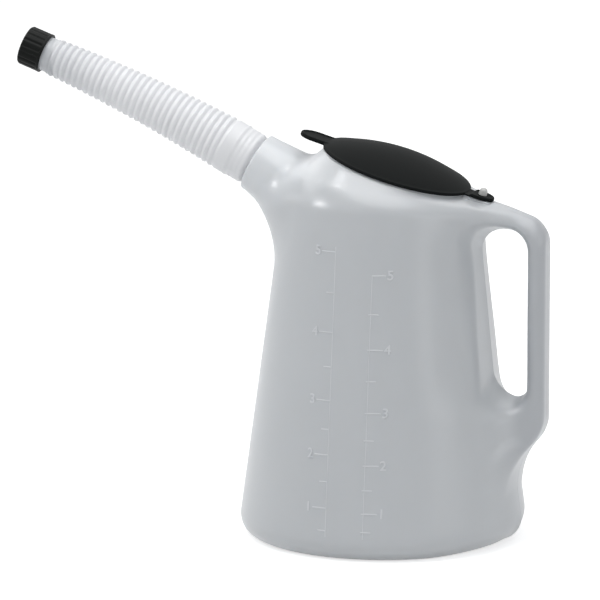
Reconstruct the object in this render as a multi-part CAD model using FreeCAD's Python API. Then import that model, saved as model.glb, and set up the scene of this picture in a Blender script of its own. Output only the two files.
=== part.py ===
import FreeCAD, Part
import math
import os

# Five-litre measuring jug with a corrugated pouring spout. Millimetres.
# The origin is the centre of the base. +Z is up, the spout points to -X and the handle to +X.

V = FreeCAD.Vector
ORIGIN = V(0, 0, 0)
AXIS_Y = V(0, 1, 0)
AXIS_Z = V(0, 0, 1)

cut_margin = 1.0           # cutting tools run this far past what they cut

# ---- body ----
wall = 2.0                 # blown wall
base_radius = 102.6        # where the tapered side would meet the floor
side_taper = 7.65          # degrees, the side leans inwards
base_round = 16.0          # rounding of the bottom edge
shoulder_height = 241.0    # where the side ends and the roof begins
shoulder_round = 8.0

# ---- raised scales on the -Y side ----
litre = 1.0e6              # cubic millimetres
quart = 946353.0
whole_marks = 5            # each scale counts to five, with a short mark at each half
litre_line_x = -14.8       # each scale hangs on an upright line
quart_line_x = 12.0
line_top_margin = 2.0      # the line runs this far past its last mark
long_tick = 9.5
short_tick = 5.5
mark_width = 1.0
mark_height = 0.5          # stands off the side
mark_root = 0.8            # starts this deep in the wall
mark_low_z = 14.0          # the line's lower end

# ---- filling opening ----
lid_pitch = 17.0           # degrees, the rim plane falls towards the handle
roof_rear_width = 11.0     # the roof behind the opening, from its upper ring out to the shoulder
roof_rear_rise = 2.2       # and how far it rises there
lip_outer_radius = 51.2    # raised lip round the opening
lip_thickness = 3.4
lip_height = 3.0
lip_root = 5.0             # the lip's depth below the roof's upper ring
roof_margin = 1.3          # the roof's upper ring lies this far outside the lip
seat_gap = 0.3             # lid over lip, and hinge tab over its pad

# ---- lid ----
lid_overhang = 2.5         # beyond the lip
lid_crown = 13.7           # top of the dome above the rim plane
lid_thickness = 2.0
rim_height = 2.2
rim_width = 1.6            # flat edge outside the dome
skirt_depth = 5.0
skirt_thickness = 1.6
skirt_clearance = 0.4      # inside the lip
thumb_reach = 18.9         # thumb tab beyond the rim
thumb_width = 22.0
tab_overlap = 5.0          # the tab's root under the dome
border_width = 1.8         # raised edge of both tabs
border_height = 0.8

# ---- living hinge, hinge tab and stud ----
hinge_offset = 2.3         # hinge axis behind the rim
hinge_width = 20.0
hinge_gap = 0.3            # half the slit at the foot of the notch
hinge_foot = 0.6           # height of that slit
notch_angle = 52.0         # each side of the V, from upright
anchor_length = 16.3       # tab behind the hinge
stud_offset = 7.7          # stud behind the hinge axis
stud_head_radius = 3.1
stud_head_height = 5.8
stud_shank_radius = 2.0
stud_foot_radius = 2.9
stud_foot_length = 3.0
stud_clearance = 0.3
pad_margin = 2.0           # the raised pad is this much wider than the tab
pad_depth = 12.0
pad_rise = 0.3             # the pad stands this far above the handle's root

# ---- neck ----
neck_reach = 22.9          # middle of the neck's rim, beyond the shoulder circle
neck_rise = 19.9           # and above it
neck_pitch = 28.5          # degrees above level
neck_radius = 21.0
neck_wall = 2.4            # at the rim, round the bore
bore_depth = 14.0
# the neck swells into the shoulder: depth, extra radius, drop of the centre
neck_swell = [(17.0, 2.6, 2.0), (28.0, 6.6, 5.4), (40.0, 12.0, 11.5), (51.0, 16.5, 19.0)]

# ---- spout ----
spout_wall = 1.2
spout_tip_pitch = 20.8     # the spout droops to this slope
stub_length = 18.0         # inside the neck
stub_clearance = 0.9
bead_clearance = 0.3       # two sealing beads fill the bore
bead_places = [4.0, 10.0]
bead_length = 1.6
collar_gap = 0.3           # collar from the neck's rim
collar_face = 0.1          # the collar's end face slopes this much
collar_radius = 18.8
collar_length = 26.0
collar_round = 1.5
ridge_count = 28
ridge_pitch = 4.75
ridge_depth = 1.6
valley_share = 0.15        # where the valley and the crest lie along one ridge
crest_share = 0.6
first_crest_radius = 19.15
last_crest_radius = 13.5
tip_radius = 12.4
tip_length = 24.3          # smooth tube after the last ridge

# ---- cap ----
cap_length = 15.8
cap_radius = 14.25         # over the grip ribs
cap_clearance = 0.35       # bore over the tip
cap_rib_depth = 0.5
cap_rib_count = 24
flank_share = 0.3          # along one rib's pitch: where its flank starts, its top starts
top_share = 0.45           # and its top ends
fall_share = 0.85
cap_bead_length = 1.6
cap_end_wall = 1.6
cap_chamfer = 0.9
seal_thickness = 1.2
seal_clearance = 0.3       # from the cap's bore, and from the tube's end
seal_gap = 0.05            # from the cap's end wall, so that the cap can turn on it

# ---- handle ----
grip_reach = 15.4          # outer face of the grip, beyond the base circle
grip_depth = 13.0
grip_width = 26.0
grip_round = 5.5
handle_top_slope = 22.0    # degrees, the upper edge behind the pad
handle_top_round = 12.0
handle_foot_z = 84.0       # where the grip's back turns in
handle_foot_slope = 55.0   # degrees
handle_foot_drop = 50.0
handle_foot_round = 9.0
handle_bury = 15.2         # the handle's plate ends this far inside the shoulder circle
hole_top_drop = 19.5       # below the shoulder
hole_bottom_z = 101.0
hole_inset = 1.5           # the hole cuts this deep into the side
hole_top_round = 14.0
hole_bottom_round = 8.0
hole_reach = 60.0
# the root spreads into the roof: distance outside the shoulder circle, half width, half height,
# depth of the centre below the handle's upper edge
root_sections = [
    (-20.2, 38.0, 9.5, 18.0),
    (6.8, 25.5, 8.0, 8.6),
    (22.8, 17.0, 6.0, 6.6),
    (33.8, 12.9, 4.6, 5.2),
]
root_round_share = 0.8     # corner radius, of the half height
# the foot spreads into the side: height, distance inside the grip's outer face, half width
foot_sections = [(97.0, 7.0, 12.9), (76.0, 11.5, 22.0), (46.0, 30.0, 36.0)]
foot_round_share = 0.7     # corner radius, of the half width

taper = math.tan(math.radians(side_taper))
lid_slope = math.radians(lid_pitch)
shoulder_radius = base_radius - shoulder_height * taper
lip_inner_radius = lip_outer_radius - lip_thickness
lid_radius = lip_outer_radius + lid_overhang
ring_radius = lip_outer_radius + roof_margin          # the roof's upper ring
ring_drop = lip_height + seat_gap                     # below the lid's rim plane
ring_x = shoulder_radius - roof_rear_width - ring_radius * math.cos(lid_slope)
ring_z = shoulder_height + roof_rear_rise + ring_radius * math.sin(lid_slope)
lid_x = ring_x + ring_drop * math.sin(lid_slope)      # middle of the lid's rim plane
lid_z = ring_z + ring_drop * math.cos(lid_slope)
neck_x = -shoulder_radius - neck_reach
neck_z = shoulder_height + neck_rise
grip_back_x = base_radius + grip_reach
handle_inner_x = shoulder_radius - handle_bury
hole_top_z = shoulder_height - hole_top_drop
hinge_s = lid_radius + hinge_offset
pad_end = hinge_s + anchor_length + pad_margin
notch_run = (rim_height - hinge_foot) * math.tan(math.radians(notch_angle))
bore_radius = neck_radius - neck_wall
grip_inner_x = grip_back_x - grip_depth


def disc(radius, z_low, z_high):
    return Part.makeCylinder(radius, z_high - z_low, V(0, 0, z_low))


def revolved(points):
    """Solid turned about Z from an outline of (radius, height) points."""
    outline = Part.makePolygon([V(r, 0, z) for r, z in points + points[:1]])
    return Part.Face(outline).revolve(ORIGIN, AXIS_Z, 360)


def lid_place(shape):
    """From the lid's own frame, X down the slope and Z off the rim plane, to the jug."""
    placed = shape.copy()
    placed.rotate(ORIGIN, AXIS_Y, lid_pitch)
    placed.translate(V(lid_x, 0, lid_z))
    return placed


# ---- spout centreline: straight in the neck, an arc over the ridges, straight at the tip ----

arc_length = collar_length + ridge_count * ridge_pitch
arc_radius = arc_length / math.radians(neck_pitch - spout_tip_pitch)
tip_end = arc_length + tip_length


def spout_pitch(t):
    """Slope in degrees at a distance from the neck's rim."""
    share = min(max(t / arc_length, 0.0), 1.0)
    return neck_pitch - share * (neck_pitch - spout_tip_pitch)


def spout_point(t, drop=0.0):
    """Point at a distance t from the neck's rim, moved square to the centreline by drop."""
    start = math.radians(neck_pitch)
    on_arc = min(max(t, 0.0), arc_length)
    slope = math.radians(spout_pitch(on_arc))
    rest = t - on_arc
    x = neck_x - arc_radius * (math.sin(start) - math.sin(slope)) - rest * math.cos(slope)
    z = neck_z + arc_radius * (math.cos(slope) - math.cos(start)) + rest * math.sin(slope)
    return V(x - drop * math.sin(slope), 0, z - drop * math.cos(slope))


def spout_circle(t, radius, drop=0.0):
    """Circle square to the centreline."""
    slope = math.radians(spout_pitch(t))
    normal = V(-math.cos(slope), 0, math.sin(slope))
    return Part.Wire([Part.makeCircle(radius, spout_point(t, drop), normal)])


def spout_place(shape, t):
    """Turn a shape's +Z up the spout and put its origin on the centreline."""
    placed = shape.copy()
    placed.rotate(ORIGIN, AXIS_Y, spout_pitch(t) - 90.0)
    placed.translate(spout_point(t))
    return placed


# ---- jug body ----

def side_radius(z):
    return base_radius - z * taper


def barrel(inset):
    """Tapered side with a rounded bottom edge, closed at the shoulder."""
    turn = base_round - inset
    centre = V(side_radius(base_round) - base_round, 0, base_round)
    foot = centre - V(0, 0, turn)
    middle = centre + V(turn, 0, -turn) * math.sqrt(0.5)
    side_low = centre + V(turn, 0, 0)
    side_high = V(shoulder_radius - inset, 0, shoulder_height)
    top = V(0, 0, shoulder_height)
    bottom = V(0, 0, foot.z)
    edges = [
        Part.makeLine(bottom, foot),
        Part.Arc(foot, middle, side_low).toShape(),
        Part.makeLine(side_low, side_high),
        Part.makeLine(side_high, top),
        Part.makeLine(top, bottom),
    ]
    return Part.Face(Part.Wire(edges)).revolve(ORIGIN, AXIS_Z, 360)


def roof(inset):
    """From the level shoulder ring up to the tilted ring round the filling opening."""
    normal = V(math.sin(lid_slope), 0, math.cos(lid_slope))
    shoulder = Part.makeCircle(shoulder_radius - inset, V(0, 0, shoulder_height))
    middle = V(ring_x, 0, ring_z) - normal * inset
    opening = Part.makeCircle(ring_radius - inset, middle, normal)
    return Part.makeLoft([Part.Wire([shoulder]), Part.Wire([opening])], True, True)


def bell(inset):
    """Barrel and roof as one, with the shoulder rounded."""
    joined = barrel(inset).fuse(roof(inset)).removeSplitter()
    corners = []
    for edge in joined.Edges:
        box = edge.BoundBox
        level = box.ZMax - box.ZMin < 0.01
        if level and abs(box.ZMin - shoulder_height) < 0.01:
            corners.append(edge)
    return joined.makeFillet(shoulder_round - inset, corners)


def neck(inset):
    """Neck that swells from its round rim into the shoulder."""
    wires = [spout_circle(0.0, neck_radius - inset)]
    for depth, growth, drop in neck_swell:
        wires.append(spout_circle(-depth, neck_radius + growth - inset, drop))
    return Part.makeLoft(wires, True, False)


def rounded_outline(corners, radii):
    """Closed XZ outline whose corners are rounded, each by its own radius."""
    count = len(corners)
    edges = []
    starts = []
    ends = []
    for i in range(count):
        back = (corners[i - 1] - corners[i]).normalize()
        ahead = (corners[(i + 1) % count] - corners[i]).normalize()
        half = back.getAngle(ahead) / 2.0
        reach = radii[i] / math.tan(half)
        starts.append(corners[i] + back * reach)
        ends.append(corners[i] + ahead * reach)
        if radii[i] > 0:
            inward = (back + ahead).normalize()
            middle = corners[i] + inward * (radii[i] / math.sin(half) - radii[i])
            edges.append(Part.Arc(starts[i], middle, ends[i]).toShape())
    for i in range(count):
        edges.append(Part.makeLine(ends[i], starts[(i + 1) % count]))
    return Part.Wire(Part.__sortEdges__(edges))


def plate(wire, half_width):
    """Plate of an XZ outline, as wide on each side of the mirror plane."""
    face = Part.Face(wire)
    face.translate(V(0, -half_width, 0))
    return face.extrude(V(0, 2 * half_width, 0))


def hole(outset, half_width):
    """The finger opening; outset makes it bigger all round."""
    top = hole_top_z + outset
    bottom = hole_bottom_z - outset
    right = grip_inner_x + outset
    cut = hole_inset + outset
    corners = [
        V(side_radius(bottom) - cut, 0, bottom),
        V(right, 0, bottom),
        V(right, 0, top),
        V(side_radius(top) - cut, 0, top),
    ]
    low = hole_bottom_round + outset
    high = hole_top_round + outset
    return plate(rounded_outline(corners, [low, low, high, low]), half_width)


def handle_edge_z(x):
    """Height of the handle's upper edge: along the pad, then steeper."""
    bend_x = lid_x + pad_end * math.cos(lid_slope)
    on_pad = min(x, bend_x)
    z = lid_z - (on_pad - lid_x) * math.tan(lid_slope) - seat_gap - pad_rise
    return z - (x - on_pad) * math.tan(math.radians(handle_top_slope))


def handle(inset):
    """Grip, its run out of the roof and its foot, all hollow and rounded along both sides."""
    back = grip_back_x - inset
    lift = inset / math.cos(math.radians(handle_top_slope))
    bend_x = lid_x + pad_end * math.cos(lid_slope)
    foot = math.radians(handle_foot_slope)
    foot_z = handle_foot_z + inset * math.tan(foot / 2.0)
    foot_x = back - handle_foot_drop / math.tan(foot)
    corners = [
        V(handle_inner_x, 0, handle_edge_z(handle_inner_x) - lift),
        V(bend_x, 0, handle_edge_z(bend_x) - lift),
        V(back, 0, handle_edge_z(back) - lift),
        V(back, 0, foot_z),
        V(foot_x, 0, foot_z - handle_foot_drop),
        V(handle_inner_x, 0, foot_z - handle_foot_drop),
    ]
    radii = [0.0, 0.0, handle_top_round - inset, handle_foot_round - inset, 0.0, 0.0]
    solid = plate(rounded_outline(corners, radii), grip_width / 2.0 - inset)
    solid = solid.cut(hole(inset, hole_reach))
    sides = []
    for edge in solid.Edges:
        box = edge.BoundBox
        if box.YMax - box.YMin < 0.01 and box.XMin > handle_inner_x + cut_margin:
            sides.append(edge)
    return solid.makeFillet(grip_round - inset, sides)


def root_wire(x, half_width, half_height, depth, inset):
    """Rounded oblong across the handle's root."""
    wide = half_width - inset
    high = half_height - inset
    turn = root_round_share * high
    corners = [V(-wide, 0, -high), V(wide, 0, -high), V(wide, 0, high), V(-wide, 0, high)]
    wire = rounded_outline(corners, [turn] * 4)
    wire.rotate(ORIGIN, AXIS_Z, 90)
    wire.translate(V(x, 0, handle_edge_z(x) - depth))
    return wire


def handle_root(inset):
    wires = []
    for outside, half_width, half_height, depth in root_sections:
        wires.append(root_wire(shoulder_radius + outside, half_width, half_height, depth, inset))
    return Part.makeLoft(wires, True, False)


def handle_foot(inset):
    wires = []
    for z, back, half_width in foot_sections:
        wide = half_width - inset
        outer = grip_back_x - back - inset
        turn = foot_round_share * wide
        corners = [
            V(handle_inner_x, 0, -wide),
            V(outer, 0, -wide),
            V(outer, 0, wide),
            V(handle_inner_x, 0, wide),
        ]
        wire = rounded_outline(corners, [0.0, turn, turn, 0.0])
        wire.rotate(ORIGIN, V(1, 0, 0), 90)
        wire.translate(V(0, 0, z))
        wires.append(wire)
    return Part.makeLoft(wires, True, False)


def tab_plan(start, end, half_width, low, high):
    """Flat tab along X with a round far end; start may lie on either side of end."""
    way = math.copysign(1.0, end - start)
    turn_x = end - way * half_width
    near = V(start, -half_width, low)
    far = V(start, half_width, low)
    edges = [
        Part.makeLine(far, near),
        Part.makeLine(near, V(turn_x, -half_width, low)),
        Part.Arc(V(turn_x, -half_width, low), V(end, 0, low), V(turn_x, half_width, low)).toShape(),
        Part.makeLine(V(turn_x, half_width, low), far),
    ]
    return Part.Face(Part.Wire(edges)).extrude(V(0, 0, high - low))


def hinge_pad(inset):
    """Raised pad on the roof that carries the hinge tab and the stud."""
    end = pad_end - inset
    half_width = hinge_width / 2.0 + pad_margin - inset
    top = -seat_gap - inset
    return lid_place(tab_plan(lip_outer_radius - lip_thickness / 2.0, end, half_width, -pad_depth, top))


def form(inset):
    """The jug's outer form, or its inner form when inset by the wall."""
    shape = bell(inset).cut(hole(inset, hole_reach))
    for piece in [neck(inset), handle(inset), handle_root(inset), handle_foot(inset), hinge_pad(inset)]:
        shape = shape.fuse(piece)
    return shape


def fill_height(volume):
    """Height that a volume reaches inside the tapered side and the rounded bottom edge."""
    step = 0.1
    z = wall
    held = 0.0
    while held < volume:
        on_side = max(z, base_round)
        turn = math.sqrt((base_round - wall) ** 2 - (on_side - z) ** 2)
        held += math.pi * (side_radius(on_side) - base_round + turn) ** 2 * step
        z += step
    return z


def scale(line_x, unit, way):
    """Upright line with a long tick at each whole unit and a short one at each half."""
    depth = side_radius(0)
    top = fill_height(whole_marks * unit) + line_top_margin
    line_corner = V(line_x - mark_width / 2, -depth, mark_low_z)
    bars = [Part.makeBox(mark_width, depth, top - mark_low_z, line_corner)]
    for half in range(1, 2 * whole_marks + 1):
        length = long_tick if half % 2 == 0 else short_tick
        z = fill_height(half * unit / 2.0)
        low_x = min(line_x, line_x + way * length)
        bars.append(Part.makeBox(length, depth, mark_width, V(low_x, -depth, z - mark_width / 2)))
    joined = bars[0].fuse(bars[1:])
    return joined.common(barrel(-mark_height)).cut(barrel(mark_root))


def jug_body():
    lip = lid_place(disc(lip_outer_radius, -lip_root - lip_height, -seat_gap))
    outer = form(0.0).fuse(lip)
    outer = outer.fuse([scale(litre_line_x, litre, -1), scale(quart_line_x, quart, 1)])
    inner = form(wall)
    mouth = spout_place(disc(neck_radius + cut_margin, -bore_depth, cut_margin), 0.0)
    inner = inner.cut(mouth)
    shell = outer.cut(inner)
    shell = shell.cut(spout_place(disc(bore_radius, -bore_depth - cut_margin, cut_margin), 0.0))
    shell = shell.cut(lid_place(disc(lip_inner_radius, -lip_root - 3 * lip_height, cut_margin)))
    stud_hole = disc(stud_shank_radius + stud_clearance, -seat_gap - 2 * wall, cut_margin)
    stud_hole.translate(V(hinge_s + stud_offset, 0, 0))
    return shell.cut(lid_place(stud_hole))


# ---- lid, hinge tab and stud ----

def dome_radius():
    """Radius of the dome's outer sphere, from its chord at the rim and its rise."""
    chord = lid_radius - rim_width
    rise = lid_crown - rim_height
    return (chord ** 2 + rise ** 2) / (2.0 * rise)


def bordered_tab(start, end, half_width):
    """Tab with a raised edge along its sides and round end."""
    tab = tab_plan(start, end, half_width, 0.0, rim_height + border_height)
    way = math.copysign(1.0, end - start)
    inner_end = end - way * border_width
    well_top = rim_height + 2 * border_height
    well = tab_plan(start - way, inner_end, half_width - border_width, rim_height, well_top)
    return tab.cut(well)


def lid():
    sphere = dome_radius()
    centre_z = lid_crown - sphere
    skirt_outer = lip_inner_radius - skirt_clearance
    outer_cap = Part.makeSphere(sphere, V(0, 0, centre_z))
    outer_cap = outer_cap.common(disc(lid_radius - rim_width, 0.0, lid_crown))
    inner_cap = Part.makeSphere(sphere - lid_thickness, V(0, 0, centre_z))
    thumb_tab = bordered_tab(-lid_radius + tab_overlap, -lid_radius - thumb_reach, thumb_width / 2.0)
    shell = outer_cap.fuse(disc(lid_radius, 0.0, rim_height))
    shell = shell.fuse([thumb_tab, disc(skirt_outer, -skirt_depth, rim_height), hinge_lug()])
    hollow = disc(skirt_outer - skirt_thickness, -skirt_depth - cut_margin, lid_crown)
    hollow = hollow.common(inner_cap.fuse(disc(skirt_outer, -2 * skirt_depth, 0.0)))
    return lid_place(shell.cut(hollow))


def notch_face(way, far):
    """Side view of one half of the living hinge: way is -1 on the lid's side, 1 on the tab's."""
    foot = hinge_s + way * hinge_gap
    points = [
        V(far, 0, 0),
        V(foot, 0, 0),
        V(foot, 0, hinge_foot),
        V(foot + way * notch_run, 0, rim_height),
        V(far, 0, rim_height),
    ]
    return Part.Face(Part.makePolygon(points + points[:1]))


def hinge_lug():
    face = notch_face(-1.0, lid_radius - 2 * rim_width)
    face.translate(V(0, -hinge_width / 2.0, 0))
    return face.extrude(V(0, hinge_width, 0))


def hinge_tab():
    """Tab behind the living hinge, held down by the stud."""
    end = hinge_s + anchor_length
    start = hinge_s + hinge_gap + notch_run
    face = notch_face(1.0, start + cut_margin)
    face.translate(V(0, -hinge_width / 2.0, 0))
    tab = bordered_tab(start, end, hinge_width / 2.0)
    tab = tab.fuse(face.extrude(V(0, hinge_width, 0)))
    stud_hole = disc(stud_shank_radius + stud_clearance, -cut_margin, rim_height + cut_margin)
    stud_hole.translate(V(hinge_s + stud_offset, 0, 0))
    return lid_place(tab.cut(stud_hole))


def lid_stud():
    """Domed push-in stud: head on the tab, shank through tab and roof, barbed foot inside."""
    head_low = rim_height
    head_high = head_low + stud_head_height
    dome_low = head_high - stud_head_radius
    foot_high = -seat_gap - wall - stud_clearance
    foot_low = foot_high - stud_foot_length
    dome = Part.makeSphere(stud_head_radius, V(0, 0, dome_low))
    dome = dome.common(disc(stud_head_radius, dome_low, head_high))
    head = disc(stud_head_radius, head_low, dome_low).fuse(dome)
    shank = disc(stud_shank_radius, foot_low, dome_low)
    barb = revolved([
        (0, foot_high),
        (stud_foot_radius, foot_high),
        (stud_shank_radius, foot_low),
        (0, foot_low),
    ])
    stud = head.fuse([shank, barb]).removeSplitter()
    stud.translate(V(hinge_s + stud_offset, 0, 0))
    return lid_place(stud)


# ---- spout ----

def crest_radius(i):
    """Crests shrink evenly from the first ridge to the last."""
    return first_crest_radius + (last_crest_radius - first_crest_radius) * i / (ridge_count - 1)


def spout_stations():
    """Outer profile along the centreline: distance and radius."""
    stub_radius = bore_radius - stub_clearance
    bead_radius = bore_radius - bead_clearance
    stations = [(-stub_length, stub_radius)]
    for place in reversed(bead_places):
        stations.append((-place - bead_length, stub_radius))
        stations.append((-place - bead_length / 2.0, bead_radius))
        stations.append((-place, stub_radius))
    stations.append((collar_gap, stub_radius))
    stations.append((collar_gap + collar_face, collar_radius - collar_round))
    stations.append((collar_gap + collar_round, collar_radius))
    stations.append((collar_length, collar_radius))
    for i in range(ridge_count):
        start = collar_length + i * ridge_pitch
        crest = crest_radius(i)
        stations.append((start + valley_share * ridge_pitch, crest - ridge_depth))
        stations.append((start + crest_share * ridge_pitch, crest))
    stations.append((arc_length + valley_share * ridge_pitch, tip_radius))
    stations.append((tip_end, tip_radius))
    return stations


def flexible_spout():
    stations = spout_stations()
    outer = Part.makeLoft([spout_circle(t, r) for t, r in stations], True, True)
    bore = [(t, r - spout_wall) for t, r in stations]
    bore[0] = (-stub_length - cut_margin, bore[0][1])
    bore[-1] = (tip_end + cut_margin, bore[-1][1])
    inner = Part.makeLoft([spout_circle(t, r) for t, r in bore], True, True)
    return outer.cut(inner)


# ---- cap and its sealing disc, along the tip ----

cap_inner_end = cap_length - cap_end_wall
cap_start = tip_end + seal_clearance + seal_thickness + seal_gap - cap_inner_end
cap_bore_radius = tip_radius + cap_clearance


def spout_cap():
    valley = cap_radius - cap_rib_depth
    rib = [(0.0, valley), (flank_share, valley), (top_share, cap_radius), (fall_share, cap_radius)]
    points = []
    for i in range(cap_rib_count):
        for share, radius in rib:
            angle = 2.0 * math.pi * (i + share) / cap_rib_count
            points.append(V(radius * math.cos(angle), radius * math.sin(angle), 0))
    ribs = Part.Face(Part.makePolygon(points + points[:1])).extrude(V(0, 0, cap_length))
    envelope = revolved([
        (0, 0),
        (cap_radius, 0),
        (cap_radius, cap_length - cap_chamfer),
        (cap_radius - cap_chamfer, cap_length),
        (0, cap_length),
    ])
    cap = ribs.common(envelope)
    cap = cap.fuse(disc(cap_radius, 0.0, cap_bead_length))
    cap = cap.cut(disc(cap_bore_radius, -cut_margin, cap_inner_end))
    return cap_place(cap)


def cap_place(shape):
    placed = shape.copy()
    placed.translate(V(0, 0, cap_start - arc_length))
    return spout_place(placed, arc_length)


def cap_seal():
    high = cap_inner_end - seal_gap
    return cap_place(disc(cap_bore_radius - seal_clearance, high - seal_thickness, high))


os.makedirs("parts", exist_ok=True)
nodes = {
    "jug_body": jug_body(),
    "lid": lid(),
    "hinge_tab": hinge_tab(),
    "lid_stud": lid_stud(),
    "flexible_spout": flexible_spout(),
    "spout_cap": spout_cap(),
    "cap_seal": cap_seal(),
}
for name, shape in nodes.items():
    print(name, "solids", len(shape.Solids), "valid", shape.isValid(), "volume", round(shape.Volume))
    shape.Solids[0].exportStep("parts/" + name + ".step")
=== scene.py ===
import bpy
import bmesh
import numpy as np
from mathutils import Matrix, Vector


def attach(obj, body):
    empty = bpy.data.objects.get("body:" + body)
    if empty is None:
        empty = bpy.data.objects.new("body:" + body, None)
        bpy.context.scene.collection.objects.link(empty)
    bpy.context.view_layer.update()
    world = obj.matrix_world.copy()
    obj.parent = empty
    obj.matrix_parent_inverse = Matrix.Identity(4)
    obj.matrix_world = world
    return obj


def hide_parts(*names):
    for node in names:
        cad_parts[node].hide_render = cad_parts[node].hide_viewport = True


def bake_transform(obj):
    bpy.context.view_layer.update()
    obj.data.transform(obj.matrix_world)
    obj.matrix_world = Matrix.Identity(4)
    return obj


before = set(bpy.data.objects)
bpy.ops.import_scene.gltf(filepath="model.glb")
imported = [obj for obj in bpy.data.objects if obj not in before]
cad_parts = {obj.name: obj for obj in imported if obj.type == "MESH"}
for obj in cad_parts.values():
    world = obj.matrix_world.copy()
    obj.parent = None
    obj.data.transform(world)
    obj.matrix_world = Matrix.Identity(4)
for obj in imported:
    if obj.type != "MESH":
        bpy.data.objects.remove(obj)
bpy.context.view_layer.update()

rad = np.radians

# All shapes are worked out in millimetres and written to the meshes in metres.
# The jug stands on z = 0 about the z axis, with the spout towards -X, the handle towards +X and the scales on the
# -Y side.

lidPlace = {"x": 9.18, "z": 260.7, "pitch": rad(17.0)}
neckPlace = {"x": -93.13, "z": 260.9, "pitch": rad(28.5)}


def toTilt(p, place):
    # coordinates in a frame turned about Y: along the slope, across it, and along its normal
    dx, dz = p[..., 0]-place["x"], p[..., 2]-place["z"]
    c, s = np.cos(place["pitch"]), np.sin(place["pitch"])
    return dx*c-dz*s, p[..., 1], dx*s+dz*c


def fromTilt(along, across, normal, place):
    # the way back: origin plus each coordinate times its axis
    along, across, normal = np.broadcast_arrays(along, across, normal)
    c, s = np.cos(place["pitch"]), np.sin(place["pitch"])
    return np.stack([place["x"]+along*c+normal*s, across, place["z"]-along*s+normal*c], -1)


def smoothStep(x, a, b):
    # 0 up to a, 1 from b, the cubic 3t^2 - 2t^3 between
    t = np.clip((x-a)/(b-a), 0, 1)
    return t*t*(3-2*t)


def eased(x, step):
    # an amount that comes in smoothly: step holds the amount, the place where it starts and the place where it is whole
    amount, start, end = step
    return amount*smoothStep(x, start, end)


def roundMax(a, b, r):
    # both solids at once, with the edge between them rounded to radius r
    return np.minimum(-r, np.maximum(a, b))+np.hypot(np.maximum(a+r, 0), np.maximum(b+r, 0))


def roundMin(a, b, r):
    # either solid, with a fillet of radius r where they meet
    return -roundMax(-a, -b, r)


def smoothMin(a, b, k):
    # either solid, melted together over the distance k
    h = np.maximum(k-np.abs(a-b), 0)/k
    return np.minimum(a, b)-h*h*k*.25


def newObject(name, points, faces, material, body=None, weld=False):
    # points are in millimetres; welding joins points that coincide at seams and poles and turns every face outward
    mesh = bpy.data.meshes.new(name)
    faces = [f for part in faces for f in (part.tolist() if isinstance(part, np.ndarray) else part)]
    mesh.from_pydata((np.asarray(points)*.001).tolist(), [], faces)
    if weld:
        bm = bmesh.new()
        bm.from_mesh(mesh)
        bmesh.ops.remove_doubles(bm, verts=bm.verts, dist=2e-6)
        bmesh.ops.dissolve_degenerate(bm, edges=bm.edges, dist=1e-7)
        bmesh.ops.recalc_face_normals(bm, faces=bm.faces)
        bm.to_mesh(mesh)
        bm.free()
    mesh.polygons.foreach_set("use_smooth", np.ones(len(mesh.polygons), bool))
    mesh.materials.append(material)
    piece = bpy.data.objects.new(name, mesh)
    bpy.context.scene.collection.objects.link(piece)
    if body:
        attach(piece, body)
    return piece


def gridFaces(rows, columns, start=0):
    # quads of a grid whose columns run round a closed section
    i, j = np.meshgrid(np.arange(rows-1), np.arange(columns), indexing="ij")
    k = (j+1) % columns
    quad = np.stack([i*columns+j, i*columns+k, (i+1)*columns+k, (i+1)*columns+j], -1)
    return quad.reshape(-1, 4)+start


def turns(count):
    # equal angles round a full turn
    return np.arange(count)*2*np.pi/count


def rounded(corners, radii, steps=6):
    # a polyline whose corners are replaced by arcs of the given radii
    out = []
    corners = np.asarray(corners, float)
    for i, (corner, radius) in enumerate(zip(corners, radii)):
        if radius <= 0 or i in (0, len(corners)-1):
            out.append(corner[None])
            continue
        a, b = corners[i-1]-corner, corners[i+1]-corner
        a, b = a/np.hypot(*a), b/np.hypot(*b)
        half = .5*np.arccos(np.clip(a@b, -1, 1))
        centre = corner+(a+b)/np.hypot(*(a+b))*radius/np.sin(half)
        first, last = corner+a*radius/np.tan(half)-centre, corner+b*radius/np.tan(half)-centre
        turn = np.arctan2(first[0]*last[1]-first[1]*last[0], first@last)
        angle = np.linspace(0, turn, steps)
        out.append(centre+np.stack([first[0]*np.cos(angle)-first[1]*np.sin(angle),
                                    first[0]*np.sin(angle)+first[1]*np.cos(angle)], -1))
    return np.concatenate(out)


def turned(profile, place, count):
    # a profile of (radius, height) carried round the axis of a tilted frame: along = r cos a, across = r sin a
    angle = turns(count)
    radius, height = profile[:, :1], profile[:, 1:]
    points = fromTilt(radius*np.cos(angle), radius*np.sin(angle), height+0*angle, place)
    return points.reshape(-1, 3), gridFaces(len(profile), count)


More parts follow.
